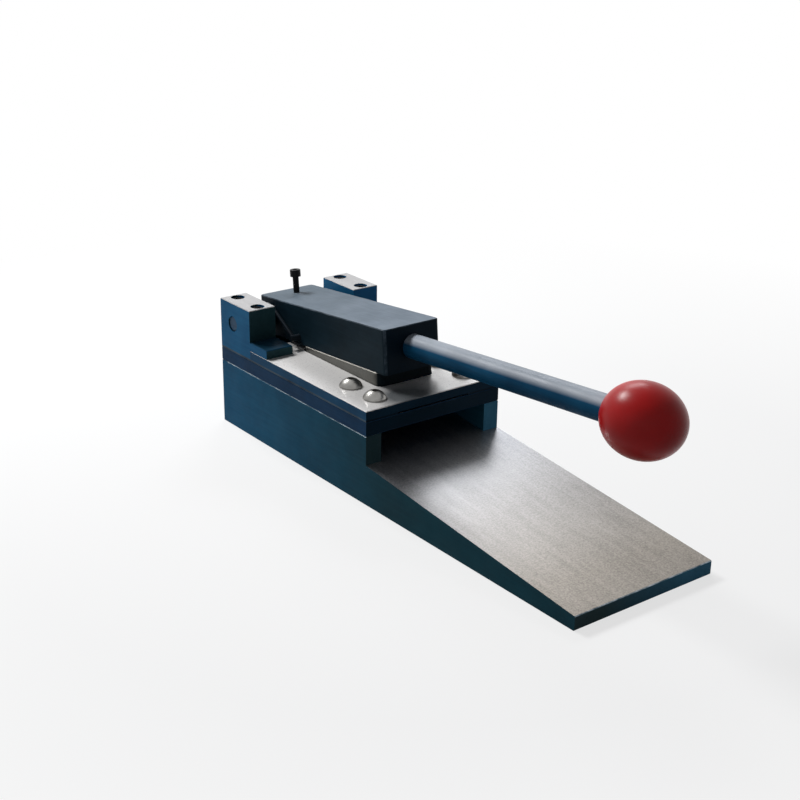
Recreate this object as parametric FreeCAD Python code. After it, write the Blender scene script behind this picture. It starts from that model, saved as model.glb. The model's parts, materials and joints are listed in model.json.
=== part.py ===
import FreeCAD, Part
import math
import os

from FreeCAD import Vector

# Bench die with a hand lever that trims a card or tag and rounds its corners in one stroke.
# Frame: +X to the right, +Y to the rear, +Z up.  The origin lies on the underside of the base,
# on the centre line, below the front face of the die body.  Everything is in millimetres.

# ---- driving dimensions ------------------------------------------------------------------

# base and chute
BODY_WIDTH = 100.0
BODY_LENGTH = 161.0
RAMP_LENGTH = 175.6          # how far the ramp reaches out in front of the body
RAMP_TIP_THICKNESS = 8.3
RAMP_HEIGHT_AT_BODY = 25.2
RISER_THICKNESS = 11.0
SHOE_THICKNESS = RAMP_TIP_THICKNESS
REAR_PLATE_THICKNESS = 6.0

# the die stack, as heights above the bench
DIE_BOTTOM = 43.1
DIE_TOP = 52.0
SLOT_HEIGHT = 1.2            # the gap the card slides into
STRIPPER_TOP = 58.8
SLOT_HALF_WIDTH = 27.0
SLOT_DEPTH = 112.0           # from the front face to the stop strip

# ears that carry the hinge pin
EAR_LENGTH = 35.2
EAR_WIDTH = 19.4
EAR_TOP = 85.2
EAR_FOOT_LENGTH = 19.8
EAR_FOOT_TOP = 64.4
EAR_SCREW_PITCH = 24.0

# hinge
PIVOT_Y = 146.4
PIVOT_Z = 71.3
PIN_RADIUS = 5.0
PIN_RUNNING_CLEARANCE = 0.04
REST_TILT = 5.53             # degrees that the raised lever climbs towards the front
STROKE = 3.9                 # degrees from raised to fully pressed
LOCK_SCREW_STAND_OFF = 10.8

# lever
LEVER_WIDTH = 41.2
LEVER_REACH = 125.0          # hinge axis to front face
LEVER_TAIL = 13.0            # hinge axis to rear face
LEVER_TOP_OFFSET = 12.2      # hinge axis up to the top face
LEVER_FRONT_ROUND = 2.5
PRESSED_GAP = 0.35           # lever above the stripper plate when fully pressed

# handle
ROD_RADIUS = 7.5
ROD_OFFSET = -1.2            # rod axis below the hinge axis line, at the lever's front face
ROD_DROOP = 1.0              # degrees that the rod dips away from the lever's own line
ROD_SHANK_RADIUS = 6.0
ROD_SHANK_LENGTH = 19.0
KNOB_DISTANCE = 187.0        # lever's front face to the knob's centre
KNOB_HALF_LENGTH = 24.1
KNOB_HALF_DIAMETER = 20.1
KNOB_FACE_RADIUS = 9.0
INSERT_RADIUS = 7.0
INSERT_LENGTH = 22.0
STUB_RADIUS = 5.0
STUB_LENGTH = 20.0

# punch
PUNCH_HALF_WIDTH = 21.1
PUNCH_FRONT = 27.6           # position when pressed
PUNCH_REAR = 110.0
PUNCH_CORNER = 5.0
PUNCH_DEPTH_IN_DIE = 0.9
PUNCH_SCREW_INSET = 20.5     # first and last screw from the punch's ends
PUNCH_DOWEL_INSET = 7.0
CUT_CLEARANCE = 0.3
SWING_CLEARANCE = 1.4        # room in the stripper window for the punch to swing in

EDGE_BREAK = 0.4
TOUCH_GAP = 0.02             # radial gap of a screw or dowel in its own hole

# ---- worked out --------------------------------------------------------------------------

HALF_WIDTH = BODY_WIDTH / 2
RISER_INNER = HALF_WIDTH - RISER_THICKNESS
EAR_INNER = HALF_WIDTH - EAR_WIDTH
EAR_FRONT = BODY_LENGTH - EAR_LENGTH
FOOT_FRONT = EAR_FRONT - EAR_FOOT_LENGTH
STRIPPER_BOTTOM = DIE_TOP + SLOT_HEIGHT
RAMP_SLOPE = (RAMP_HEIGHT_AT_BODY - RAMP_TIP_THICKNESS) / RAMP_LENGTH
RISER_LENGTH = BODY_LENGTH - REAR_PLATE_THICKNESS
RISER_CENTRE = HALF_WIDTH - RISER_THICKNESS / 2
LEVER_HALF = LEVER_WIDTH / 2
PRESSED_TILT = REST_TILT - STROKE
LEVER_UNDERSIDE = STRIPPER_TOP + PRESSED_GAP
EAR_CENTRE = HALF_WIDTH - EAR_WIDTH / 2
EAR_SCREW_ROWS = [EAR_FRONT + (EAR_LENGTH + side * EAR_SCREW_PITCH) / 2 for side in (-1, 1)]
PUNCH_MIDDLE = (PUNCH_FRONT + PUNCH_REAR) / 2
PUNCH_SCREW_ROWS = [PUNCH_FRONT + PUNCH_SCREW_INSET, PUNCH_MIDDLE, PUNCH_REAR - PUNCH_SCREW_INSET]

# fasteners: shank radius, head radius, head height
M4_CAP = (2.0, 3.5, 4.0)
M5_CAP = (2.5, 4.25, 5.0)
M4_FLAT = (2.0, 3.8, 2.0)
HEAD_ROOM = 0.25             # radial room round a sunk head
HEAD_CHAMFER = 0.3
CAP_SOCKET = (0.48, 0.5)     # hexagon across flats and its depth, as shares of the head's
FLAT_SOCKET = (0.36, 0.7)    # diameter and of its height
CONE_ROOM = 0.1              # radial room round a countersunk head
HOLE_PAST_TIP = 1.0          # a blind hole is deeper than its screw by this much


# ---- shape helpers -----------------------------------------------------------------------

def block(x, y, z):
    """A box from three (low, high) pairs."""
    low = Vector(x[0], y[0], z[0])
    return Part.makeBox(x[1] - x[0], y[1] - y[0], z[1] - z[0], low)


def rod_z(radius, low, high, x=0.0, y=0.0):
    return Part.makeCylinder(radius, high - low, Vector(x, y, low))


def rod_x(radius, low, high, y, z):
    return Part.makeCylinder(radius, high - low, Vector(low, y, z), Vector(1, 0, 0))


def side_profile(points, half_width, x_centre=0.0):
    """Extrudes an outline drawn in the YZ plane to both sides of x_centre."""
    x = x_centre - half_width
    corners = [Vector(x, y, z) for y, z in points]
    face = Part.Face(Part.makePolygon(corners + corners[:1]))
    return face.extrude(Vector(2 * half_width, 0, 0))


def rounded_block(half_width, y, z, corner):
    """A box centred on x = 0 with its four upright edges rounded."""
    body = block((-half_width, half_width), y, z)
    return body.makeFillet(corner, upright_edges(body))


def upright_edges(shape):
    found = []
    for edge in shape.Edges:
        box = edge.BoundBox
        if box.ZLength > 0.5 and box.XLength < 0.01 and box.YLength < 0.01:
            found.append(edge)
    return found


def mirrored(shape):
    return shape.mirror(Vector(0, 0, 0), Vector(1, 0, 0))


def break_edges(shape, wanted, size=EDGE_BREAK):
    """Chamfers the straight edges for which wanted(middle point, bounding box) is true."""
    picked = []
    for edge in shape.Edges:
        box = edge.BoundBox
        if wanted(box.Center, box):
            picked.append(edge)
    return shape.makeChamfer(size, picked)


def at(value, target):
    return abs(value - target) < 0.01


def about_hinge(shape, degrees):
    """Lifts a shape that hangs on the hinge by an angle, about the hinge axis."""
    lifted = shape.copy()
    lifted.rotate(Vector(0, PIVOT_Y, PIVOT_Z), Vector(1, 0, 0), -degrees)
    return lifted


def cut_all(shape, cutters):
    for cutter in cutters:
        shape = shape.cut(cutter)
    return shape.removeSplitter()


# ---- fasteners, pointing down with the underside of the head at z = 0 ----------------------

def hex_socket(across_flats, depth, top):
    radius = across_flats / math.sqrt(3)
    corners = []
    for step in range(6):
        turn = math.radians(60 * step)
        corners.append(Vector(radius * math.cos(turn), radius * math.sin(turn), top - depth))
    face = Part.Face(Part.makePolygon(corners + corners[:1]))
    return face.extrude(Vector(0, 0, depth + 1))


def cap_screw(size, length):
    shank, head, height = size
    body = rod_z(head, 0, height)
    rim = [edge for edge in body.Edges if at(edge.BoundBox.ZMin, height)]
    body = body.makeChamfer(HEAD_CHAMFER, rim)
    body = body.fuse(rod_z(shank, -length, 0)).removeSplitter()
    return body.cut(hex_socket(2 * head * CAP_SOCKET[0], height * CAP_SOCKET[1], height))


def flat_screw(size, length):
    """Countersunk: its flat top is at z = 0."""
    shank, head, height = size
    cone = Part.makeCone(shank, head, height, Vector(0, 0, -height))
    body = cone.fuse(rod_z(shank, -length, -height)).removeSplitter()
    return body.cut(hex_socket(2 * head * FLAT_SOCKET[0], height * FLAT_SOCKET[1], 0))


DOME_RADIUS = 7.0
DOME_HEIGHT = 5.3
DOME_RIM = 0.8
DOME_SHANK = 3.0
DOME_LENGTH = 14.6
DOME_SOCKET = (4.0, 2.2)     # hexagon across flats and depth


def dome_screw():
    """A round-headed screw with a small rim below the dome."""
    rise = DOME_HEIGHT - DOME_RIM
    ball = (DOME_RADIUS ** 2 + rise ** 2) / (2 * rise)
    dome = Part.makeSphere(ball, Vector(0, 0, DOME_HEIGHT - ball))
    head = dome.common(rod_z(DOME_RADIUS, DOME_RIM, DOME_HEIGHT + 1))
    head = head.fuse(rod_z(DOME_RADIUS, 0, DOME_RIM))
    head = head.fuse(rod_z(DOME_SHANK, -DOME_LENGTH, 0)).removeSplitter()
    return head.cut(hex_socket(*DOME_SOCKET, DOME_HEIGHT))


def placed(shape, x, y, z, tip=None):
    """Moves a fastener to its seat; tip is an optional (axis, degrees) turn first."""
    copy = shape.copy()
    if tip is not None:
        copy.rotate(Vector(0, 0, 0), tip[0], tip[1])
    copy.translate(Vector(x, y, z))
    return copy


# ---- where the fasteners sit -----------------------------------------------------------------

# rows are distances from the front face, on both sides of the centre line
BOTH_SIDES = (-1, 1)
DOME_SEATS = [(side * 33.5, y) for side in BOTH_SIDES for y in (14.3, 38.4)]
DIE_SCREW_SEATS = [(side * RISER_CENTRE, y) for side in BOTH_SIDES for y in (24, 76, 118)]
DOWEL_SEATS = [(side * RISER_CENTRE, y) for side in BOTH_SIDES for y in (8, 96)]
RISER_SCREW_SEATS = [(side * RISER_CENTRE, y) for side in BOTH_SIDES for y in (14, 74, 134)]
EAR_SCREW_SEATS = [(side * EAR_CENTRE, y) for side in BOTH_SIDES for y in EAR_SCREW_ROWS]
REAR_SCREW_SEATS = [(side * RISER_CENTRE, z) for side in BOTH_SIDES for z in (16, 35)]
STOP_SCREW_SEATS = [(side * 12.0, 155.5) for side in BOTH_SIDES]
PUNCH_DOWEL_ROWS = [PUNCH_FRONT + PUNCH_DOWEL_INSET, PUNCH_REAR - PUNCH_DOWEL_INSET]

DIE_SCREW_SEAT = DIE_TOP - M5_CAP[2] - 0.2
RISER_SCREW_SEAT = M5_CAP[2] + 0.3
EAR_SCREW_SEAT = EAR_TOP - M5_CAP[2] - 1.2
DIE_SCREW_LENGTH = 16.0
RISER_SCREW_LENGTH = 14.0
REAR_SCREW_LENGTH = 18.0
STOP_SCREW_LENGTH = 13.0
PUNCH_SCREW_LENGTH = 14.0

DOWEL_RADIUS = 2.5
DOWEL_BOTTOM = 31.0
DOWEL_TOP = DIE_TOP - 0.5

# the bar that the lever's tail rests on
STOP_TOP = 57.55
STOP_HALF_WIDTH = 18.0
STOP_FRONT = 150.5
STOP_REAR = 160.5


# ---- base ------------------------------------------------------------------------------------

def ramp_surface(y):
    """Height of the sloping chute floor at a given y."""
    return RAMP_HEIGHT_AT_BODY + RAMP_SLOPE * y


def make_ramp_base():
    """The shoe: a full-width foot, with the wedge that is the chute floor and the ramp."""
    wedge = side_profile([(-RAMP_LENGTH, 0), (0, 0), (0, RAMP_HEIGHT_AT_BODY),
                          (-RAMP_LENGTH, RAMP_TIP_THICKNESS)], HALF_WIDTH)
    foot = block((-HALF_WIDTH, HALF_WIDTH), (0, RISER_LENGTH), (0, SHOE_THICKNESS))
    tongue = side_profile([(0, 0), (RISER_LENGTH, 0), (RISER_LENGTH, ramp_surface(RISER_LENGTH)),
                           (0, RAMP_HEIGHT_AT_BODY)], RISER_INNER)
    body = wedge.fuse([foot, tongue]).removeSplitter()
    holes = []
    for x, y in RISER_SCREW_SEATS:
        holes.append(rod_z(M5_CAP[0] + TOUCH_GAP, 0, SHOE_THICKNESS, x, y))
        holes.append(rod_z(M5_CAP[1] + HEAD_ROOM, 0, RISER_SCREW_SEAT, x, y))
    body = cut_all(body, holes)

    def tip_edge(middle, box):
        front = at(box.YMin, -RAMP_LENGTH) and at(box.YMax, -RAMP_LENGTH)
        return front and box.XLength > 1
    return break_edges(body, tip_edge)


def make_riser():
    """Right-hand wall of the chute, standing on the foot of the shoe."""
    body = block((RISER_INNER, HALF_WIDTH), (0, RISER_LENGTH), (SHOE_THICKNESS, DIE_BOTTOM))
    body = break_edges(body, lambda middle, box: at(middle.z, DIE_BOTTOM) and at(middle.x, HALF_WIDTH))
    holes = []
    shank = M5_CAP[0] + TOUCH_GAP
    riser_hole_top = RISER_SCREW_SEAT + RISER_SCREW_LENGTH + HOLE_PAST_TIP
    for x, y in RISER_SCREW_SEATS:
        holes.append(rod_z(shank, SHOE_THICKNESS, riser_hole_top, abs(x), y))
    die_hole_bottom = DIE_SCREW_SEAT - DIE_SCREW_LENGTH - HOLE_PAST_TIP
    for x, y in DIE_SCREW_SEATS:
        holes.append(rod_z(shank, die_hole_bottom, DIE_BOTTOM, abs(x), y))
    for x, y in DOWEL_SEATS:
        holes.append(rod_z(DOWEL_RADIUS + TOUCH_GAP, DOWEL_BOTTOM, DIE_BOTTOM, abs(x), y))
    hole = rod_z(M4_FLAT[0] + TOUCH_GAP, REAR_PLATE_THICKNESS - REAR_SCREW_LENGTH - HOLE_PAST_TIP, 0)
    for x, z in REAR_SCREW_SEATS:
        holes.append(placed(hole, abs(x), RISER_LENGTH, z, (Vector(1, 0, 0), -90)))
    return cut_all(body, holes)


def make_rear_plate():
    body = block((-HALF_WIDTH, HALF_WIDTH), (RISER_LENGTH, BODY_LENGTH), (0, DIE_BOTTOM))
    body = break_edges(body, lambda middle, box: at(middle.z, DIE_BOTTOM) and at(middle.y, BODY_LENGTH))
    shank, head, height = M4_FLAT
    hole = rod_z(shank + TOUCH_GAP, -REAR_PLATE_THICKNESS, 0)
    hole = hole.fuse(Part.makeCone(shank + CONE_ROOM, head + CONE_ROOM, height, Vector(0, 0, -height)))
    turn = (Vector(1, 0, 0), -90)
    return cut_all(body, [placed(hole, x, BODY_LENGTH, z, turn) for x, z in REAR_SCREW_SEATS])


def make_die_plate():
    """The lower die: the punch passes through its rounded opening, which widens below a land."""
    body = block((-HALF_WIDTH, HALF_WIDTH), (0, BODY_LENGTH), (DIE_BOTTOM, DIE_TOP))

    def outer_edge(middle, box):
        level = box.ZLength < 0.01
        rim = at(abs(middle.x), HALF_WIDTH) or at(middle.y, 0) or at(middle.y, BODY_LENGTH)
        return level and rim
    body = break_edges(body, outer_edge)
    land = 4.0
    relief = 0.8
    opening = rounded_block(PUNCH_HALF_WIDTH + CUT_CLEARANCE,
                            (PUNCH_FRONT - CUT_CLEARANCE, PUNCH_REAR + CUT_CLEARANCE),
                            (DIE_TOP - land - 0.1, DIE_TOP + 1), PUNCH_CORNER + CUT_CLEARANCE)
    drop = rounded_block(PUNCH_HALF_WIDTH + relief, (PUNCH_FRONT - relief, PUNCH_REAR + relief),
                         (DIE_BOTTOM - 1, DIE_TOP - land), PUNCH_CORNER + relief)
    holes = [opening, drop]
    for x, y in DIE_SCREW_SEATS:
        holes.append(rod_z(M5_CAP[0] + TOUCH_GAP, DIE_BOTTOM, DIE_TOP, x, y))
        holes.append(rod_z(M5_CAP[1] + HEAD_ROOM, DIE_SCREW_SEAT, DIE_TOP, x, y))
    for x, y in DOWEL_SEATS:
        holes.append(rod_z(DOWEL_RADIUS + TOUCH_GAP, DIE_BOTTOM, DIE_TOP, x, y))
    for x, y in DOME_SEATS:
        holes.append(rod_z(DOME_SHANK + TOUCH_GAP, DIE_BOTTOM, DIE_TOP, x, y))
    for x, y in EAR_SCREW_SEATS:
        holes.append(rod_z(M5_CAP[0] + TOUCH_GAP, DIE_BOTTOM, DIE_TOP, x, y))
    for x, y in STOP_SCREW_SEATS:
        holes.append(rod_z(M4_FLAT[0] + TOUCH_GAP, DIE_BOTTOM, DIE_TOP, x, y))
    return cut_all(body, holes)


def make_guide_strip():
    """Right-hand thin strip between die and stripper: it sets the slot's height and its width."""
    body = block((SLOT_HALF_WIDTH, HALF_WIDTH), (0, BODY_LENGTH), (DIE_TOP, STRIPPER_BOTTOM))
    holes = []
    for x, y in DOME_SEATS:
        holes.append(rod_z(DOME_SHANK + TOUCH_GAP, DIE_TOP, STRIPPER_BOTTOM, abs(x), y))
    for x, y in EAR_SCREW_SEATS:
        holes.append(rod_z(M5_CAP[0] + TOUCH_GAP, DIE_TOP, STRIPPER_BOTTOM, abs(x), y))
    return cut_all(body, holes)


def make_stop_strip():
    """Thin strip across the rear of the slot, which the card's edge runs up against."""
    body = block((-SLOT_HALF_WIDTH, SLOT_HALF_WIDTH), (SLOT_DEPTH, BODY_LENGTH), (DIE_TOP, STRIPPER_BOTTOM))
    radius = M4_FLAT[0] + TOUCH_GAP
    return cut_all(body, [rod_z(radius, DIE_TOP, STRIPPER_BOTTOM, x, y) for x, y in STOP_SCREW_SEATS])


def make_stripper_plate():
    """The upper plate: it guides the punch and strips the card off it on the way up."""
    body = block((-HALF_WIDTH, HALF_WIDTH), (0, EAR_FRONT), (STRIPPER_BOTTOM, STRIPPER_TOP))

    def outer_edge(middle, box):
        rim = at(abs(middle.x), HALF_WIDTH) or at(middle.y, 0)
        return at(middle.z, STRIPPER_TOP) and rim
    body = break_edges(body, outer_edge)
    window = rounded_block(PUNCH_HALF_WIDTH + CUT_CLEARANCE,
                           (PUNCH_FRONT - SWING_CLEARANCE, PUNCH_REAR + CUT_CLEARANCE),
                           (STRIPPER_BOTTOM - 1, STRIPPER_TOP + 1), PUNCH_CORNER)
    holes = [window]
    for x, y in DOME_SEATS:
        holes.append(rod_z(DOME_SHANK + TOUCH_GAP, STRIPPER_BOTTOM, STRIPPER_TOP, x, y))
    return cut_all(body, holes)


def make_ear():
    """Right-hand ear: a tower with the hinge bore, and a foot that clamps the stripper plate."""
    body = side_profile([(EAR_FRONT, STRIPPER_BOTTOM), (BODY_LENGTH, STRIPPER_BOTTOM),
                         (BODY_LENGTH, EAR_TOP), (EAR_FRONT, EAR_TOP), (EAR_FRONT, EAR_FOOT_TOP),
                         (FOOT_FRONT, EAR_FOOT_TOP), (FOOT_FRONT, STRIPPER_TOP),
                         (EAR_FRONT, STRIPPER_TOP)], EAR_WIDTH / 2, EAR_CENTRE)

    def upper_rim(middle, box):
        top = at(box.ZMin, EAR_TOP) and at(box.ZMax, EAR_TOP)
        foot = at(box.ZMin, EAR_FOOT_TOP) and at(box.ZMax, EAR_FOOT_TOP) and middle.y < EAR_FRONT - 0.1
        return top or foot
    body = break_edges(body, upper_rim)
    holes = [rod_x(PIN_RADIUS + PIN_RUNNING_CLEARANCE, EAR_INNER, HALF_WIDTH, PIVOT_Y, PIVOT_Z)]
    for x, y in EAR_SCREW_SEATS:
        holes.append(rod_z(M5_CAP[0] + TOUCH_GAP, STRIPPER_BOTTOM, EAR_TOP, abs(x), y))
        holes.append(rod_z(M5_CAP[1] + HEAD_ROOM, EAR_SCREW_SEAT, EAR_TOP + 1, abs(x), y))
    return cut_all(body, holes)


def make_lever_stop():
    """Low bar between the ears that the lever's tail comes down on when the handle is up."""
    body = block((-STOP_HALF_WIDTH, STOP_HALF_WIDTH), (STOP_FRONT, STOP_REAR), (STRIPPER_BOTTOM, STOP_TOP))
    body = break_edges(body, lambda middle, box: at(box.ZMin, STOP_TOP) and at(box.ZMax, STOP_TOP))
    shank, head, height = M4_FLAT
    hole = rod_z(shank + TOUCH_GAP, STRIPPER_BOTTOM - STOP_TOP, 0)
    hole = hole.fuse(Part.makeCone(shank + CONE_ROOM, head + CONE_ROOM, height, Vector(0, 0, -height)))
    return cut_all(body, [placed(hole, x, y, STOP_TOP) for x, y in STOP_SCREW_SEATS])


# ---- fasteners of the base -------------------------------------------------------------------

def make_ear_screws():
    screw = cap_screw(M5_CAP, EAR_SCREW_SEAT - DIE_BOTTOM - HOLE_PAST_TIP)
    return [placed(screw, x, y, EAR_SCREW_SEAT) for x, y in EAR_SCREW_SEATS]


def make_stripper_screws():
    return [placed(dome_screw(), x, y, STRIPPER_TOP) for x, y in DOME_SEATS]


def make_die_screws():
    screw = cap_screw(M5_CAP, DIE_SCREW_LENGTH)
    return [placed(screw, x, y, DIE_SCREW_SEAT) for x, y in DIE_SCREW_SEATS]


def make_riser_screws():
    screw = cap_screw(M5_CAP, RISER_SCREW_LENGTH)
    turn = (Vector(1, 0, 0), 180)
    return [placed(screw, x, y, RISER_SCREW_SEAT, turn) for x, y in RISER_SCREW_SEATS]


def make_rear_screws():
    screw = flat_screw(M4_FLAT, REAR_SCREW_LENGTH)
    turn = (Vector(1, 0, 0), -90)
    return [placed(screw, x, BODY_LENGTH, z, turn) for x, z in REAR_SCREW_SEATS]


def make_stop_screws():
    screw = flat_screw(M4_FLAT, STOP_SCREW_LENGTH)
    return [placed(screw, x, y, STOP_TOP) for x, y in STOP_SCREW_SEATS]


def make_die_dowels():
    return [rod_z(DOWEL_RADIUS, DOWEL_BOTTOM, DOWEL_TOP, x, y) for x, y in DOWEL_SEATS]


# ---- lever, drawn level and then lifted about the hinge ----------------------------------------

def underside(reach):
    """Level-lever height of the lever's underside at a distance forward of the hinge."""
    drop = (PIVOT_Z - LEVER_UNDERSIDE) / math.cos(math.radians(PRESSED_TILT))
    return PIVOT_Z - drop - reach * math.tan(math.radians(PRESSED_TILT))


def along_handle(drawn):
    """Lays a handle piece, drawn along +Z from the lever's front face, along the handle's line."""
    copy = drawn.copy()
    copy.rotate(Vector(0, 0, 0), Vector(1, 0, 0), 90 + ROD_DROOP)
    copy.translate(Vector(0, PIVOT_Y - LEVER_REACH, PIVOT_Z + ROD_OFFSET))
    return about_hinge(copy, REST_TILT)


def make_lever_block():
    front = PIVOT_Y - LEVER_REACH
    rear = PIVOT_Y + LEVER_TAIL
    top = PIVOT_Z + LEVER_TOP_OFFSET
    body = side_profile([(front, underside(LEVER_REACH)), (rear, underside(-LEVER_TAIL)),
                         (rear, top), (front, top)], LEVER_HALF)
    body = body.makeFillet(LEVER_FRONT_ROUND, upright_edges(body))
    body = break_edges(body, lambda middle, box: at(box.ZMin, top) and at(box.ZMax, top), 0.5)
    gap = TOUCH_GAP
    holes = [rod_x(PIN_RADIUS + gap, -LEVER_HALF, LEVER_HALF, PIVOT_Y, PIVOT_Z)]
    holes.append(rod_z(M4_CAP[0] + gap, PIVOT_Z, top + 1, 0, PIVOT_Y))
    for low in (-LEVER_HALF, LEVER_HALF - SPRING_PIN_BURIED):
        high = low + SPRING_PIN_BURIED
        pin_y = PIVOT_Y - SPRING_PIN_REACH
        holes.append(rod_x(SPRING_PIN_RADIUS + gap, low, high, pin_y, PIVOT_Z + SPRING_PIN_RISE))
    body = cut_all(body, holes)
    body = about_hinge(body, REST_TILT)
    sockets = [along_handle(rod_z(ROD_SHANK_RADIUS + gap, -ROD_SHANK_LENGTH - 1, 1))]
    for y in PUNCH_SCREW_ROWS:
        hole = rod_z(M4_CAP[0] + gap, LEVER_UNDERSIDE, LEVER_UNDERSIDE + 12, 0, y)
        sockets.append(about_hinge(hole, STROKE))
    for y in PUNCH_DOWEL_ROWS:
        hole = rod_z(PUNCH_DOWEL_RADIUS + gap, LEVER_UNDERSIDE, LEVER_UNDERSIDE + 8, 0, y)
        sockets.append(about_hinge(hole, STROKE))
    return cut_all(body, sockets)


def make_pivot_pin():
    pin = rod_x(PIN_RADIUS, -HALF_WIDTH + 0.6, HALF_WIDTH - 0.6, PIVOT_Y, PIVOT_Z)
    return pin.makeChamfer(0.6, [edge for edge in pin.Edges if edge.BoundBox.XLength < 0.01])


def make_lock_screw():
    """Stands well proud of the lever and bears on the hinge pin."""
    seat = PIVOT_Z + LEVER_TOP_OFFSET + LOCK_SCREW_STAND_OFF
    length = seat - PIVOT_Z - PIN_RADIUS - TOUCH_GAP
    screw = placed(cap_screw((M4_CAP[0], M4_CAP[1], 4.6), length), 0, PIVOT_Y, seat)
    return about_hinge(screw, REST_TILT)


def make_handle_rod():
    length = KNOB_DISTANCE - knob_face_setback()
    shoulder = ROD_RADIUS * math.tan(math.radians(ROD_DROOP)) + TOUCH_GAP
    body = rod_z(ROD_RADIUS, shoulder, length)
    body = body.makeChamfer(0.6, [edge for edge in body.Edges if at(edge.BoundBox.ZMin, length)])
    body = body.fuse([rod_z(ROD_SHANK_RADIUS, -ROD_SHANK_LENGTH, shoulder),
                      rod_z(STUB_RADIUS, length, length + STUB_LENGTH)])
    return along_handle(body.removeSplitter())


def knob_face_setback():
    """Distance from the knob's centre back to the flat that seats on the rod."""
    return KNOB_HALF_LENGTH * math.sqrt(1 - (KNOB_FACE_RADIUS / KNOB_HALF_DIAMETER) ** 2)


def make_knob():
    """An oval knob, turned about the rod's axis, with a flat where the rod's shoulder seats."""
    ball = Part.makeSphere(KNOB_HALF_DIAMETER)
    stretch = FreeCAD.Matrix()
    stretch.A33 = KNOB_HALF_LENGTH / KNOB_HALF_DIAMETER
    oval = ball.transformGeometry(stretch)
    back = -knob_face_setback()
    reach = KNOB_HALF_DIAMETER + 1
    oval = oval.cut(rod_z(reach, -KNOB_HALF_LENGTH - 1, back))
    oval = oval.cut(rod_z(INSERT_RADIUS + TOUCH_GAP, back - 1, back + INSERT_LENGTH + TOUCH_GAP))
    oval.translate(Vector(0, 0, KNOB_DISTANCE))
    return along_handle(oval)


def make_knob_insert():
    back = KNOB_DISTANCE - knob_face_setback()
    body = rod_z(INSERT_RADIUS, back, back + INSERT_LENGTH)
    return along_handle(body.cut(rod_z(STUB_RADIUS + TOUCH_GAP, back - 1, back + STUB_LENGTH + TOUCH_GAP)))


# ---- punch, drawn where it is when pressed and then lifted with the lever ----------------------

PUNCH_BOTTOM = DIE_TOP - PUNCH_DEPTH_IN_DIE
PUNCH_DOWEL_RADIUS = 2.0
PUNCH_SCREW_SEAT = PUNCH_BOTTOM + M4_CAP[2] + 0.3


def make_punch():
    body = rounded_block(PUNCH_HALF_WIDTH, (PUNCH_FRONT, PUNCH_REAR),
                         (PUNCH_BOTTOM, LEVER_UNDERSIDE), PUNCH_CORNER)
    rim = [edge for edge in body.Edges if at(edge.BoundBox.ZMin, LEVER_UNDERSIDE)]
    body = body.makeChamfer(0.4, rim)
    holes = []
    for y in PUNCH_SCREW_ROWS:
        holes.append(rod_z(M4_CAP[0] + TOUCH_GAP, PUNCH_BOTTOM, LEVER_UNDERSIDE, 0, y))
        holes.append(rod_z(M4_CAP[1] + HEAD_ROOM, PUNCH_BOTTOM, PUNCH_SCREW_SEAT, 0, y))
    for y in PUNCH_DOWEL_ROWS:
        holes.append(rod_z(PUNCH_DOWEL_RADIUS + TOUCH_GAP, PUNCH_BOTTOM, LEVER_UNDERSIDE, 0, y))
    return about_hinge(cut_all(body, holes), STROKE)


def make_punch_screws():
    screw = cap_screw(M4_CAP, PUNCH_SCREW_LENGTH)
    turn = (Vector(1, 0, 0), 180)
    return [about_hinge(placed(screw, 0, y, PUNCH_SCREW_SEAT, turn), STROKE) for y in PUNCH_SCREW_ROWS]


def make_punch_dowels():
    low = PUNCH_BOTTOM + 0.2
    high = LEVER_UNDERSIDE + 7.5
    return [about_hinge(rod_z(PUNCH_DOWEL_RADIUS, low, high, 0, y), STROKE) for y in PUNCH_DOWEL_ROWS]


# ---- return springs ----------------------------------------------------------------------------

SPRING_PIN_RADIUS = 2.0
SPRING_PIN_REACH = 32.0      # forward of the hinge, along the lever
SPRING_PIN_RISE = -8.5
SPRING_PIN_PROUD = 6.5
SPRING_PIN_BURIED = 7.5
WIRE_RADIUS = 1.2
COIL_RADIUS = 8.2
COIL_PITCH = 2.6
FULL_TURNS = 2
BEND_SWELL = 1.08            # the wire is a little thicker where a leg bends out of the coil
UPPER_LEG_PAST_PIN = 3.0
SPRING_TOUCH_GAP = 0.1
LOWER_LEG_TIP_Y = 120.0


def make_spring_pins():
    """Short pins in the lever's sides that the springs push up on."""
    pins = []
    y = PIVOT_Y - SPRING_PIN_REACH
    z = PIVOT_Z + SPRING_PIN_RISE
    for low in (-LEVER_HALF - SPRING_PIN_PROUD, LEVER_HALF - SPRING_PIN_BURIED):
        pin = rod_x(SPRING_PIN_RADIUS, low, low + SPRING_PIN_PROUD + SPRING_PIN_BURIED, y, z)
        pins.append(about_hinge(pin, REST_TILT))
    return pins


def on_coil(x, turn):
    """A point on the coil's centre line; turn is an angle from +Y towards +Z."""
    return Vector(x, PIVOT_Y + COIL_RADIUS * math.cos(turn), PIVOT_Z + COIL_RADIUS * math.sin(turn))


def leg_line(x, target, side, offset, past):
    """Start, end and start angle of a straight leg that leaves the coil at a tangent and passes
    the target point at an offset; side is -1 for the leg over the coil, +1 for the one under it."""
    dy = target[0] - PIVOT_Y
    dz = target[1] - PIVOT_Z
    gap = math.hypot(dy, dz)
    turn = math.atan2(dz, dy) + side * math.acos((COIL_RADIUS + offset) / gap)
    run = math.sqrt(gap ** 2 - (COIL_RADIUS + offset) ** 2) + past
    heading = turn - side * math.pi / 2
    start = on_coil(x, turn)
    end = start + Vector(0, run * math.cos(heading), run * math.sin(heading))
    return start, end, turn


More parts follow.
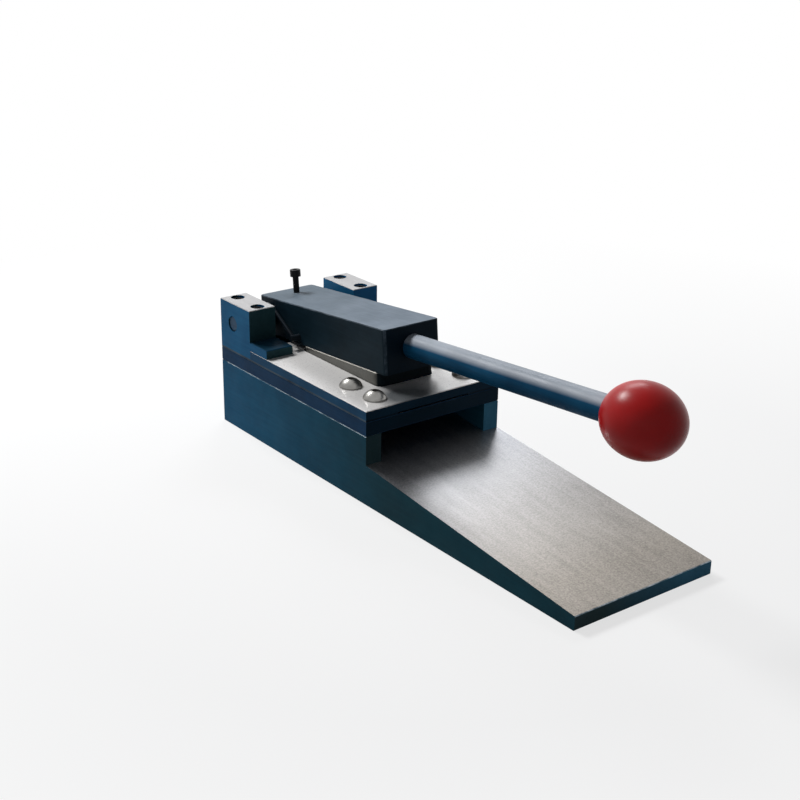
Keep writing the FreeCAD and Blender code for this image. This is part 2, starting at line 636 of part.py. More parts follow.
def make_spring():
    """Right-hand torsion spring round the hinge pin: its upper leg reaches forward under the
    lever's pin, and its lower leg presses down on the stripper plate."""
    tilt = math.radians(REST_TILT)
    pin = (PIVOT_Y - SPRING_PIN_REACH * math.cos(tilt) + SPRING_PIN_RISE * math.sin(tilt),
           PIVOT_Z + SPRING_PIN_REACH * math.sin(tilt) + SPRING_PIN_RISE * math.cos(tilt))
    plate = (LOWER_LEG_TIP_Y, STRIPPER_TOP + WIRE_RADIUS + SPRING_TOUCH_GAP)
    offset = SPRING_PIN_RADIUS + WIRE_RADIUS + SPRING_TOUCH_GAP
    upper = leg_line(0, pin, -1, offset, UPPER_LEG_PAST_PIN)
    lower = leg_line(0, plate, 1, 0, 0)
    turns = FULL_TURNS + (upper[2] - lower[2]) / (2 * math.pi) + 1
    turns -= math.floor(turns - FULL_TURNS)      # full turns plus the part turn to the lower leg
    length = COIL_PITCH * turns
    inner = (EAR_INNER + LEVER_HALF - length) / 2

    helix = Part.makeHelix(COIL_PITCH, length, COIL_RADIUS)
    rise = COIL_PITCH / (2 * math.pi * COIL_RADIUS)
    ring = Part.Wire(Part.makeCircle(WIRE_RADIUS, Vector(COIL_RADIUS, 0, 0), Vector(0, 1, rise)))
    body = Part.Wire(helix.Edges).makePipeShell([ring], True, True)
    body.rotate(Vector(0, 0, 0), Vector(0, 0, 1), 90 - math.degrees(upper[2]))
    body.rotate(Vector(0, 0, 0), Vector(0, 1, 0), -90)
    body = mirrored(body)
    body.translate(Vector(inner, PIVOT_Y, PIVOT_Z))
    for x, (start, end, turn) in ((inner, upper), (inner + length, lower)):
        start = start + Vector(x, 0, 0)
        along = end + Vector(x, 0, 0) - start
        bend = Part.makeSphere(WIRE_RADIUS * BEND_SWELL, start)
        leg = Part.makeCylinder(WIRE_RADIUS, along.Length, start, along)
        body = body.fuse(bend).fuse(leg)
    return body


def build():
    nodes = {}
    nodes["ramp_base"] = make_ramp_base()
    nodes["right_riser"] = make_riser()
    nodes["left_riser"] = mirrored(make_riser())
    nodes["rear_plate"] = make_rear_plate()
    nodes["die_plate"] = make_die_plate()
    nodes["right_guide_strip"] = make_guide_strip()
    nodes["left_guide_strip"] = mirrored(make_guide_strip())
    nodes["stop_strip"] = make_stop_strip()
    nodes["stripper_plate"] = make_stripper_plate()
    nodes["right_ear"] = make_ear()
    nodes["left_ear"] = mirrored(make_ear())
    nodes["lever_stop"] = make_lever_stop()
    nodes["ear_screws"] = make_ear_screws()
    nodes["stripper_screws"] = make_stripper_screws()
    nodes["die_screws"] = make_die_screws()
    nodes["riser_screws"] = make_riser_screws()
    nodes["rear_screws"] = make_rear_screws()
    nodes["stop_screws"] = make_stop_screws()
    nodes["die_dowels"] = make_die_dowels()
    nodes["lever_block"] = make_lever_block()
    nodes["pivot_pin"] = make_pivot_pin()
    nodes["lock_screw"] = make_lock_screw()
    nodes["handle_rod"] = make_handle_rod()
    nodes["knob"] = make_knob()
    nodes["knob_insert"] = make_knob_insert()
    nodes["punch"] = make_punch()
    nodes["punch_screws"] = make_punch_screws()
    nodes["punch_dowels"] = make_punch_dowels()
    nodes["spring_pins"] = make_spring_pins()
    nodes["right_spring"] = make_spring()
    nodes["left_spring"] = mirrored(make_spring())
    return nodes


def export(nodes):
    os.makedirs("parts", exist_ok=True)
    for name, shape in nodes.items():
        if isinstance(shape, list):
            shape = Part.makeCompound(shape)
        shape.exportStep("parts/" + name + ".step")
        print(name, shape.isValid(), len(shape.Solids), round(shape.Volume, 1))


export(build())
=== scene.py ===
import json
import math

import bmesh
import bpy
from mathutils import Matrix, Vector


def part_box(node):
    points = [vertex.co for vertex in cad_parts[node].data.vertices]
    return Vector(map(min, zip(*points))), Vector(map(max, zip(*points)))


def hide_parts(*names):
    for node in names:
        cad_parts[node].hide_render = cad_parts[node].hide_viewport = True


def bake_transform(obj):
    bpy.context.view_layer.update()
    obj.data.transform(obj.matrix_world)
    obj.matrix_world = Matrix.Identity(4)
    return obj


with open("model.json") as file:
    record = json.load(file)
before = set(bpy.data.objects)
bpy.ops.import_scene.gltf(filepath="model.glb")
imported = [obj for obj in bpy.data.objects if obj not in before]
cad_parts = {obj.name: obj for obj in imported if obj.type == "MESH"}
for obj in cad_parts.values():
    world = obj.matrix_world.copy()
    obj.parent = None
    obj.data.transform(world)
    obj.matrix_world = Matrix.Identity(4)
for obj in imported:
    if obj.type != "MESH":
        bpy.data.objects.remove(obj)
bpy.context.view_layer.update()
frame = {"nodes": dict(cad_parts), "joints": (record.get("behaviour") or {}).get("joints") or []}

# A hand-lever corner rounder: the CAD frame carries the shapes, and this script gives it its
# camera, light and materials, and finer return springs.  Lengths are in metres.

MM = 0.001
NODES = frame["nodes"]
HINGE = Vector(frame["joints"][0]["pos_m"])


# ---- camera ------------------------------------------------------------------------------

CAMERA_AZIMUTH = math.radians(-37.47)
CAMERA_ELEVATION = math.radians(21.62)
CAMERA_ROLL = math.radians(0.82)
CAMERA_DISTANCE = 0.8206
CAMERA_TARGET = Vector((-0.02576, 0.0, 0.06053))
CAMERA_LENS = 63.73          # mm, on a 36 mm wide sensor


def make_camera():
    flat = math.cos(CAMERA_ELEVATION)
    back = Vector((math.sin(CAMERA_AZIMUTH) * flat, -math.cos(CAMERA_AZIMUTH) * flat,
                   math.sin(CAMERA_ELEVATION)))
    level = Vector((math.cos(CAMERA_AZIMUTH), math.sin(CAMERA_AZIMUTH), 0.0))
    upright = back.cross(level)
    right = level * math.cos(CAMERA_ROLL) + upright * math.sin(CAMERA_ROLL)
    up = upright * math.cos(CAMERA_ROLL) - level * math.sin(CAMERA_ROLL)
    data = bpy.data.cameras.new("camera")
    data.lens = CAMERA_LENS
    data.sensor_width = 36.0
    data.clip_start = 0.01
    camera = bpy.data.objects.new("camera", data)
    turn = Matrix((right, up, back)).transposed().to_4x4()
    camera.matrix_world = Matrix.Translation(CAMERA_TARGET + back * CAMERA_DISTANCE) @ turn
    bpy.context.scene.collection.objects.link(camera)
    bpy.context.scene.camera = camera


# ---- light -------------------------------------------------------------------------------

AMBIENT_FRONT = 0.17
AMBIENT_BACK = 0.75
AMBIENT_TOP = 0.2            # how much of that the sky overhead has
AMBIENT_TURN = 0.8           # how far to the front and rear the light keeps changing
CEILING_STARTS = 0.2         # upward share of a direction at which the ceiling begins
CEILING_FULL = 0.8
AMBIENT_COLOUR = (0.92, 0.95, 1.0, 1.0)


def area_light(name, position, aim, size, power, colour=(1.0, 1.0, 1.0)):
    data = bpy.data.lights.new(name, "AREA")
    data.shape = "RECTANGLE"
    data.size = size[0]
    data.size_y = size[1]
    data.energy = power
    data.color = colour
    lamp = bpy.data.objects.new(name, data)
    lamp.location = position
    direction = Vector(aim) - Vector(position)
    lamp.rotation_euler = direction.to_track_quat("-Z", "Y").to_euler()
    bpy.context.scene.collection.objects.link(lamp)
    return lamp


def make_lights():
    # a soft window behind the tool and to its right
    area_light("window", (0.50, 0.64, 0.68), (0.0, -0.02, 0.03), (0.42, 0.26), 2.6, (0.95, 0.97, 1.0))
    # the main soft box, behind the tool and a little higher than the window
    area_light("overhead", (-0.14, 0.68, 0.76), (0.0, -0.03, 0.05), (0.36, 0.2), 8.4)


def seen_directly(tree):
    """1 for the rays that should meet the white background, 0 for the rays that light the tool."""
    path = tree.nodes.new("ShaderNodeLightPath")
    both = tree.nodes.new("ShaderNodeMath")
    both.operation = "MAXIMUM"
    tree.links.new(path.outputs["Is Camera Ray"], both.inputs[0])
    tree.links.new(path.outputs["Is Glossy Ray"], both.inputs[1])
    every = tree.nodes.new("ShaderNodeMath")
    every.operation = "MAXIMUM"
    tree.links.new(both.outputs[0], every.inputs[0])
    tree.links.new(path.outputs["Is Transmission Ray"], every.inputs[1])
    return every.outputs[0]


def make_world():
    world = bpy.data.worlds.new("studio")
    bpy.context.scene.world = world
    world.use_nodes = True
    tree = world.node_tree
    tree.nodes.clear()
    out = tree.nodes.new("ShaderNodeOutputWorld")
    # the room is darker in front of the tool than behind it
    direction = tree.nodes.new("ShaderNodeTexCoord")
    split = tree.nodes.new("ShaderNodeSeparateXYZ")
    tree.links.new(direction.outputs["Generated"], split.inputs[0])
    level = tree.nodes.new("ShaderNodeMapRange")
    level.inputs["From Min"].default_value = -AMBIENT_TURN
    level.inputs["From Max"].default_value = AMBIENT_TURN
    level.inputs["To Min"].default_value = AMBIENT_FRONT
    level.inputs["To Max"].default_value = AMBIENT_BACK
    tree.links.new(split.outputs[1], level.inputs["Value"])
    # and its walls are lighter than its ceiling
    ceiling = tree.nodes.new("ShaderNodeMapRange")
    ceiling.inputs["From Min"].default_value = CEILING_STARTS
    ceiling.inputs["From Max"].default_value = CEILING_FULL
    ceiling.inputs["To Min"].default_value = 1.0
    ceiling.inputs["To Max"].default_value = AMBIENT_TOP
    tree.links.new(split.outputs[2], ceiling.inputs["Value"])
    strength = tree.nodes.new("ShaderNodeMath")
    strength.operation = "MULTIPLY"
    tree.links.new(level.outputs[0], strength.inputs[0])
    tree.links.new(ceiling.outputs[0], strength.inputs[1])
    ambient = tree.nodes.new("ShaderNodeBackground")
    ambient.inputs["Color"].default_value = AMBIENT_COLOUR
    tree.links.new(strength.outputs[0], ambient.inputs["Strength"])
    white = tree.nodes.new("ShaderNodeBackground")
    white.inputs["Color"].default_value = (1.0, 1.0, 1.0, 1.0)
    white.inputs["Strength"].default_value = 1.0
    mix = tree.nodes.new("ShaderNodeMixShader")
    tree.links.new(seen_directly(tree), mix.inputs[0])
    tree.links.new(ambient.outputs[0], mix.inputs[1])
    tree.links.new(white.outputs[0], mix.inputs[2])
    tree.links.new(mix.outputs[0], out.inputs[0])


# ---- material building blocks --------------------------------------------------------------

class Shader:
    """A node tree under construction, with short calls for the nodes the materials share."""

    def __init__(self, name):
        self.material = bpy.data.materials.new(name)
        self.material.use_nodes = True
        self.tree = self.material.node_tree
        self.tree.nodes.clear()
        self.out = self.tree.nodes.new("ShaderNodeOutputMaterial")
        self.coords = self.tree.nodes.new("ShaderNodeTexCoord")

    def link(self, source, target):
        self.tree.links.new(source, target)

    def put(self, socket, value):
        if hasattr(value, "is_output"):
            self.link(value, socket)
        else:
            socket.default_value = value

    def place(self, stretch=(1, 1, 1), turn=(0, 0, 0)):
        node = self.tree.nodes.new("ShaderNodeMapping")
        node.inputs["Scale"].default_value = stretch
        node.inputs["Rotation"].default_value = turn
        self.link(self.coords.outputs["Object"], node.inputs["Vector"])
        return node.outputs[0]

    def noise(self, scale, detail=2.0, roughness=0.5, where=None, distortion=0.0):
        node = self.tree.nodes.new("ShaderNodeTexNoise")
        node.inputs["Scale"].default_value = scale
        node.inputs["Detail"].default_value = detail
        node.inputs["Roughness"].default_value = roughness
        node.inputs["Distortion"].default_value = distortion
        self.link(where or self.coords.outputs["Object"], node.inputs["Vector"])
        return node.outputs["Fac"]

    def math(self, operation, first, second=0.0, clamp=False):
        node = self.tree.nodes.new("ShaderNodeMath")
        node.operation = operation
        node.use_clamp = clamp
        self.put(node.inputs[0], first)
        self.put(node.inputs[1], second)
        return node.outputs[0]

    def spread(self, value, low, high, to_low=0.0, to_high=1.0):
        """Maps low..high to to_low..to_high, clamped."""
        node = self.tree.nodes.new("ShaderNodeMapRange")
        self.put(node.inputs["Value"], value)
        node.inputs["From Min"].default_value = low
        node.inputs["From Max"].default_value = high
        node.inputs["To Min"].default_value = to_low
        node.inputs["To Max"].default_value = to_high
        return node.outputs[0]

    def mix(self, factor, first, second):
        node = self.tree.nodes.new("ShaderNodeMix")
        node.data_type = "RGBA"
        self.put(node.inputs[0], factor)
        self.put(node.inputs[6], first)
        self.put(node.inputs[7], second)
        return node.outputs[2]

    def bump(self, height, strength, distance, normal=None):
        node = self.tree.nodes.new("ShaderNodeBump")
        node.inputs["Strength"].default_value = strength
        node.inputs["Distance"].default_value = distance
        self.put(node.inputs["Height"], height)
        if normal is not None:
            self.link(normal, node.inputs["Normal"])
        return node.outputs[0]

    def facing(self, axis):
        """One component of the surface normal, in the piece's own space."""
        node = self.tree.nodes.new("ShaderNodeSeparateXYZ")
        self.link(self.coords.outputs["Normal"], node.inputs[0])
        return node.outputs[axis]

    def along(self, axis):
        node = self.tree.nodes.new("ShaderNodeSeparateXYZ")
        self.link(self.coords.outputs["Object"], node.inputs[0])
        return node.outputs[axis]

    def surface(self, colour, roughness, metallic=0.0, normal=None, **fixed):
        node = self.tree.nodes.new("ShaderNodeBsdfPrincipled")
        self.put(node.inputs["Base Color"], colour)
        self.put(node.inputs["Roughness"], roughness)
        self.put(node.inputs["Metallic"], metallic)
        if normal is not None:
            self.link(normal, node.inputs["Normal"])
        for name, value in fixed.items():
            node.inputs[name.replace("_", " ")].default_value = value
        return node.outputs[0]

    def blend(self, factor, first, second):
        node = self.tree.nodes.new("ShaderNodeMixShader")
        self.put(node.inputs[0], factor)
        self.link(first, node.inputs[1])
        self.link(second, node.inputs[2])
        return node.outputs[0]

    def done(self, surface):
        self.link(surface, self.out.inputs["Surface"])
        return self.material


def rgb(red, green, blue):
    """A colour given as it looks on screen, 0 to 255, turned into linear light."""
    def linear(value):
        value = value / 255
        return value / 12.92 if value <= 0.04045 else ((value + 0.055) / 1.055) ** 2.4
    return (linear(red), linear(green), linear(blue), 1.0)


# ---- materials -------------------------------------------------------------------------------

def blued(sh, dark, light, roughness=0.4, shine=0.03, streak_along=(1.0, 0.04, 1.0)):
    """Blued steel: cloudy in tone, with faint grinding lines under the colour."""
    cloud = sh.noise(26.0, 4.0, 0.6)
    lines = sh.noise(650.0, 2.0, 0.5, sh.place(streak_along))
    tone = sh.math("ADD", sh.math("MULTIPLY", cloud, 0.75), sh.math("MULTIPLY", lines, 0.25))
    colour = sh.mix(sh.spread(tone, 0.36, 0.64), dark, light)
    gloss = sh.spread(sh.noise(60.0, 3.0), 0.3, 0.7, roughness - 0.05, roughness + 0.08)
    skin = sh.bump(sh.math("ADD", lines, sh.noise(900.0, 2.0)), 0.1, 0.00012)
    return sh.surface(colour, gloss, 0.0, skin, Specular_IOR_Level=shine)


def ground(sh, dark, light, roughness=0.34, relief=0.3, grain=0.5, metal=1.0, shine=0.5):
    """Ground steel: a fine grit, soft stains and a few long hairline scratches."""
    grit = sh.noise(950.0, 3.0, 0.7)
    stain = sh.noise(18.0, 4.0, 0.55)
    scratch = sh.noise(260.0, 3.0, 0.6, sh.place((1.0, 0.02, 1.0), (0.0, 0.0, 0.05)))
    tone = sh.math("ADD", sh.math("MULTIPLY", grit, grain), sh.math("MULTIPLY", stain, 0.8 - grain))
    tone = sh.math("ADD", tone, sh.math("MULTIPLY", scratch, 0.2))
    colour = sh.mix(sh.spread(tone, 0.34, 0.66), dark, light)
    gloss = sh.spread(grit, 0.3, 0.7, roughness - 0.05, roughness + 0.07)
    bump = sh.bump(sh.math("ADD", grit, sh.math("MULTIPLY", scratch, 0.5)), relief, 0.0001)
    return sh.surface(colour, gloss, metal, bump, Specular_IOR_Level=shine)


def polished(sh, dark, light, roughness=0.26):
    """Bright turned steel: smooth, with slow stains and a faint orange peel."""
    stain = sh.noise(150.0, 3.0, 0.5)
    colour = sh.mix(sh.spread(stain, 0.35, 0.65), dark, light)
    gloss = sh.spread(stain, 0.3, 0.7, roughness + 0.05, roughness - 0.03)
    return sh.surface(colour, gloss, 1.0, sh.bump(sh.noise(500.0, 2.0), 0.03, 0.0001))


def edge_mask(sh):
    """1 on the narrow slanted faces of broken edges, broken up by wear."""
    normal = sh.tree.nodes.new("ShaderNodeVectorMath")
    normal.operation = "ABSOLUTE"
    sh.link(sh.coords.outputs["Normal"], normal.inputs[0])
    split = sh.tree.nodes.new("ShaderNodeSeparateXYZ")
    sh.link(normal.outputs[0], split.inputs[0])
    biggest = sh.math("MAXIMUM", sh.math("MAXIMUM", split.outputs[0], split.outputs[1]), split.outputs[2])
    slanted = sh.spread(biggest, 0.88, 0.96, 1.0, 0.0)
    return sh.math("MULTIPLY", slanted, sh.spread(sh.noise(120.0, 3.0, 0.6), 0.4, 0.6, 0.25, 1.0))


# the front finishes below are painted shade: faces that look to the front are painted darker, as the
# lamps are behind
PAINTED_SHADE_FACING = (-0.8, -0.9)      # normal along Y at which the front finish starts and is full
TOP_FADE = 0.03                  # the top finish fades in over this much of the normal's Z
HEIGHT_FADE = 0.0005


def steel_block(name, side, top=None, front=None, edge=None, above=None, limit=0.9):
    """One finish on the sides, and optional others on the faces that look up or to the front; the front
    finish is painted shade, darker than the sides.
    above keeps the top finish to faces higher than that.  Broken edges show the edge finish."""
    sh = Shader(name)
    look = side(sh)
    if front is not None:
        look = sh.blend(sh.spread(sh.facing(1), *PAINTED_SHADE_FACING), look, front(sh))
    if edge is not None:
        look = sh.blend(edge_mask(sh), look, edge(sh))
    if top is not None:
        up = sh.spread(sh.facing(2), limit - TOP_FADE, limit)
        if above is not None:
            up = sh.math("MULTIPLY", up, sh.spread(sh.along(2), above - HEIGHT_FADE, above))
        look = sh.blend(up, look, top(sh))
    return sh.done(look)


def lengthwise(sh, rear, front, start=-0.02, end=0.15):
    """A colour that drifts along the body, from the rear towards the ramp's tip."""
    return sh.mix(sh.spread(sh.along(1), start, end), front, rear)


def shelf_with_painted_shade(sh, wall, level):
    """One colour on upright faces and another on the faces that look up; the ear uses the second as
    painted shade.
    """
    return sh.mix(sh.spread(sh.facing(2), 0.5, 0.8), wall, level)


# painted shade: a soft darker patch on the plate in front of the punch, in place of the lever's shadow
# and dark reflection
PAINTED_SHADE_CENTRE = (-0.014, 0.006, 0.0588)   # on the plate, in front of the punch
PAINTED_SHADE_REACH = 0.021
PAINTED_SHADE_RAGGED = 0.008                     # how far noise pushes the patch's rim about


def with_painted_shade(sh, bare, dark):
    """The plate's bare colour, with painted shade: darkened in a soft patch in front of the punch,
    standing in for the lever's shadow and reflection there.
    """
    offset = sh.tree.nodes.new("ShaderNodeVectorMath")
    offset.operation = "DISTANCE"
    sh.link(sh.coords.outputs["Object"], offset.inputs[0])
    offset.inputs[1].default_value = PAINTED_SHADE_CENTRE
    ragged = sh.math("MULTIPLY", sh.noise(70.0, 3.0, 0.6), PAINTED_SHADE_RAGGED)
    distance = sh.math("ADD", offset.outputs["Value"], ragged)
    return sh.mix(sh.spread(distance, PAINTED_SHADE_REACH * 0.7, PAINTED_SHADE_REACH * 1.4), dark, bare)


def painted_shade_across(sh, left, right):
    """A colour that drifts from the left side to the right: painted shade, darker on the left, away from
    the lamps, and lighter on the right.
    """
    return sh.mix(sh.spread(sh.along(0), -0.03, 0.03), left, right)


def body_steel():
    def side(sh):
        return blued(sh, lengthwise(sh, rgb(27, 84, 118), rgb(22, 62, 74)),
                     lengthwise(sh, rgb(37, 102, 138), rgb(29, 75, 88)))

    def top(sh):
        return ground(sh,
                      lengthwise(sh, rgb(108, 109, 112), rgb(106, 101, 95), start=-0.15, end=-0.01),
                      lengthwise(sh, rgb(156, 157, 161), rgb(156, 150, 142), start=-0.15, end=-0.01),
                      roughness=0.37, relief=0.4, grain=0.66)

    # painted light and shade: the front faces are the body's blued steel painted darker, darkest on the
    # left and lighter on the right, where the light falls
    def front(sh):
        return blued(sh, painted_shade_across(sh, rgb(38, 60, 64), rgb(58, 114, 142)),
                     painted_shade_across(sh, rgb(50, 74, 79), rgb(72, 132, 162)))

    def edge(sh):
        return ground(sh, rgb(96, 108, 118), rgb(160, 170, 178), roughness=0.4, relief=0.2)

    return steel_block("body_blue", side, top, front, edge)


def die_steel():
    def side(sh):
        return blued(sh, rgb(20, 54, 84), rgb(28, 68, 104), roughness=0.36)

    def top(sh):
        return ground(sh, rgb(140, 136, 130), rgb(190, 186, 180), roughness=0.34)

    # painted shade: the front face painted darker than the sides
    def front(sh):
        return blued(sh, rgb(10, 30, 42), rgb(16, 40, 56))

    def edge(sh):
        return blued(sh, rgb(22, 50, 72), rgb(40, 72, 98))

    return steel_block("die_blue", side, top, front, edge)


def plate_steel():
    def side(sh):
        return blued(sh, rgb(28, 70, 102), rgb(40, 88, 124), roughness=0.36)

    def top(sh):
        # the dark colours are the painted shade in front of the punch
        return ground(sh, with_painted_shade(sh, rgb(214, 212, 210), rgb(88, 92, 95)),
                      with_painted_shade(sh, rgb(228, 226, 224), rgb(116, 119, 121)),
                      roughness=0.3, relief=0.03, grain=0.05, metal=0.2, shine=0.2)

    # painted shade: the front face painted darker than the sides
    def front(sh):
        return blued(sh, rgb(14, 38, 54), rgb(22, 52, 72))

    return steel_block("plate_ground", side, top, front, limit=0.6)


def ear_steel():
    def side(sh):
        # painted shade: the foot's top, which looks up, is painted darker than the upright faces, for the
        # shadow of the ear and lever
        return blued(sh, shelf_with_painted_shade(sh, rgb(28, 90, 131), rgb(14, 42, 58)),
                     shelf_with_painted_shade(sh, rgb(38, 108, 152), rgb(20, 54, 74)), roughness=0.36)

    def top(sh):
        return ground(sh, rgb(158, 157, 157), rgb(188, 187, 187),
                      roughness=0.45, relief=0.15, grain=0.3, metal=0.1, shine=0.1)

    # painted shade: the front faces painted darker, darkest on the left
    def front(sh):
        return blued(sh, painted_shade_across(sh, rgb(34, 60, 66), rgb(34, 96, 144)),
                     painted_shade_across(sh, rgb(44, 74, 80), rgb(44, 112, 166)))

    return steel_block("ear_blue", side, top, front, above=0.08, limit=0.6)


def shim_steel():
    def side(sh):
        return blued(sh, rgb(16, 38, 56), rgb(92, 116, 134), roughness=0.34, shine=0.06)

    # painted shade: the front face painted darker than the sides
    def front(sh):
        return blued(sh, rgb(8, 24, 36), rgb(14, 36, 52))

    return steel_block("shim_edge", side, front=front)


def lever_steel():
    def side(sh):
        return blued(sh, rgb(15, 30, 38), rgb(24, 42, 52), roughness=0.4, shine=0.04)

    # painted sheen: the top is the lever's blued steel painted pale, paler towards the front, for the
    # light it reflects
    def top(sh):
        return blued(sh, lengthwise(sh, rgb(88, 99, 108), rgb(114, 125, 137)),
                     lengthwise(sh, rgb(104, 115, 125), rgb(136, 147, 160)),
                     roughness=0.46, shine=0.02)

    # painted shade: the front face painted darker than the sides
    def front(sh):
        return blued(sh, rgb(8, 22, 32), rgb(13, 30, 42), roughness=0.4, shine=0.04)

    def edge(sh):
        return blued(sh, rgb(36, 50, 62), rgb(62, 78, 92), roughness=0.36, shine=0.15)

    return steel_block("lever_gunmetal", side, top, front, edge, limit=0.86)


def rod_steel():
    """Blued, with a painted sheen: the top painted pale for the light it reflects, and the underside
    painted dark as shade.
    """
    sh = Shader("rod_steel")
    painted_sheen_top = blued(sh, rgb(136, 144, 154), rgb(160, 168, 178), roughness=0.38, shine=0.1)
    painted_shade_side = blued(sh, rgb(14, 62, 92), rgb(24, 82, 116), roughness=0.34, shine=0.03)
    return sh.done(sh.blend(sh.spread(sh.facing(2), 0.36, 0.62), painted_shade_side, painted_sheen_top))


def punch_steel():
    """Ground sides, with painted shade on the dark front face and a painted highlight, a brighter copy of
    the ground finish, on the faces that look up.
    """
    sh = Shader("punch_steel")
    side = ground(sh, rgb(84, 84, 81), rgb(116, 116, 112), roughness=0.42, relief=0.3)
    # painted shade on the front face
    front = blued(sh, rgb(10, 18, 22), rgb(18, 28, 34), roughness=0.4, shine=0.03)
    # painted highlight: a brighter copy of the ground finish on the faces that look up
    painted_highlight_top = ground(sh, rgb(104, 102, 98), rgb(140, 137, 132), roughness=0.4, relief=0.2)
    look = sh.blend(sh.spread(sh.facing(1), -0.2, -0.5), side, front)
    return sh.done(sh.blend(sh.spread(sh.facing(2), 0.5, 0.6), look, painted_highlight_top))


def knob_plastic():
    sh = Shader("knob_red")
    cloud = sh.noise(34.0, 3.0, 0.5)
    colour = sh.mix(sh.spread(cloud, 0.35, 0.7), rgb(158, 8, 11), rgb(190, 16, 18))
    skin = sh.bump(sh.noise(420.0, 2.0), 0.04, 0.0001)
    gloss = sh.spread(sh.noise(70.0, 3.0), 0.3, 0.7, 0.27, 0.34)
    return sh.done(sh.surface(colour, gloss, 0.0, skin, Specular_IOR_Level=0.16))


def plain_metal(name, finish, dark, light, **settings):
    """A metal with one finish all over."""
    sh = Shader(name)
    return sh.done(finish(sh, dark, light, **settings))


def make_materials():
    return {
        "body": body_steel(),
        "die": die_steel(),
        "plate": plate_steel(),
        "ear": ear_steel(),
        "shim": shim_steel(),
        "lever": lever_steel(),
        "rod": rod_steel(),
        "black": plain_metal("screw_black", blued, rgb(8, 9, 11), rgb(20, 21, 24),
                             roughness=0.35, shine=0.1),
        "bright": plain_metal("screw_bright", polished, rgb(122, 121, 118), rgb(146, 145, 142),
                              roughness=0.33),
        "pin": plain_metal("pin_blued", blued, rgb(20, 54, 80), rgb(40, 84, 116),
                           roughness=0.3, shine=0.1),
        "tool": plain_metal("tool_steel", ground, rgb(70, 74, 76), rgb(120, 124, 126),
                            roughness=0.36, relief=0.2),
        "punch": punch_steel(),
        "spring": plain_metal("spring_wire", blued, rgb(18, 24, 30), rgb(36, 44, 52),
                              roughness=0.3, shine=0.12),
        "brass": plain_metal("brass_insert", ground, rgb(150, 112, 50), rgb(206, 166, 90),
                             roughness=0.3, relief=0.2),
        "red": knob_plastic(),
    }


FINISH = {
    "ramp_base": "body", "left_riser": "body", "right_riser": "body", "rear_plate": "body",
    "die_plate": "die", "left_guide_strip": "shim", "right_guide_strip": "shim",
    "stop_strip": "shim", "stripper_plate": "plate", "left_ear": "ear", "right_ear": "ear",
    "lever_stop": "lever", "ear_screws": "black", "stripper_screws": "bright",
    "die_screws": "black", "riser_screws": "black", "rear_screws": "black",
    "stop_screws": "black", "die_dowels": "tool", "lever_block": "lever", "pivot_pin": "pin",
    "lock_screw": "black", "handle_rod": "rod", "knob": "red", "knob_insert": "brass",
    "punch": "punch", "punch_screws": "black", "punch_dowels": "tool", "spring_pins": "spring",
    "left_spring": "spring", "right_spring": "spring",
}


def finish_nodes(materials):
    for name, kind in FINISH.items():
        mesh = NODES[name].data
        mesh.materials.clear()
        mesh.materials.append(materials[kind])


# ---- floor -----------------------------------------------------------------------------------

FLOOR_REACH = 6.0            # half its width
FLOOR_WHITE_NEAR = 0.7       # how much of the floor's look near the tool is plain white
FLOOR_NEAR = 0.25            # distances over which that grows to all of it
FLOOR_FAR = 0.6
FLOOR_LIT = 150              # grey that bounces light onto the tool
FLOOR_SEEN = 238             # grey that the camera and the reflections see


def make_floor():
    mesh = bpy.data.meshes.new("floor")
    reach = FLOOR_REACH
    corners = [(-reach, -reach, 0), (reach, -reach, 0), (reach, reach, 0), (-reach, reach, 0)]
    mesh.from_pydata(corners, [], [(0, 1, 2, 3)])
    floor = bpy.data.objects.new("floor", mesh)
    bpy.context.scene.collection.objects.link(floor)
    sh = Shader("floor_pale")
    seen = seen_directly(sh.tree)
    grey = sh.mix(seen, rgb(FLOOR_LIT, FLOOR_LIT, FLOOR_LIT), rgb(FLOOR_SEEN, FLOOR_SEEN, FLOOR_SEEN))
    matt = sh.surface(grey, 0.9, Specular_IOR_Level=0.0)
    glow = sh.tree.nodes.new("ShaderNodeEmission")
    glow.inputs["Strength"].default_value = 1.0
    distance = sh.tree.nodes.new("ShaderNodeVectorMath")
    distance.operation = "LENGTH"
    sh.link(sh.coords.outputs["Object"], distance.inputs[0])
    share = sh.spread(distance.outputs["Value"], FLOOR_NEAR, FLOOR_FAR, FLOOR_WHITE_NEAR, 1.0)
    share = sh.math("MULTIPLY", share, seen)
    mesh.materials.append(sh.done(sh.blend(share, matt, glow.outputs[0])))


# ---- return springs ----------------------------------------------------------------------------

SPRING_SIDES = 14
TIP_ROUNDING = ((0.55, 0.84), (0.9, 0.45))   # past the tip and how thick, as shares of the radius


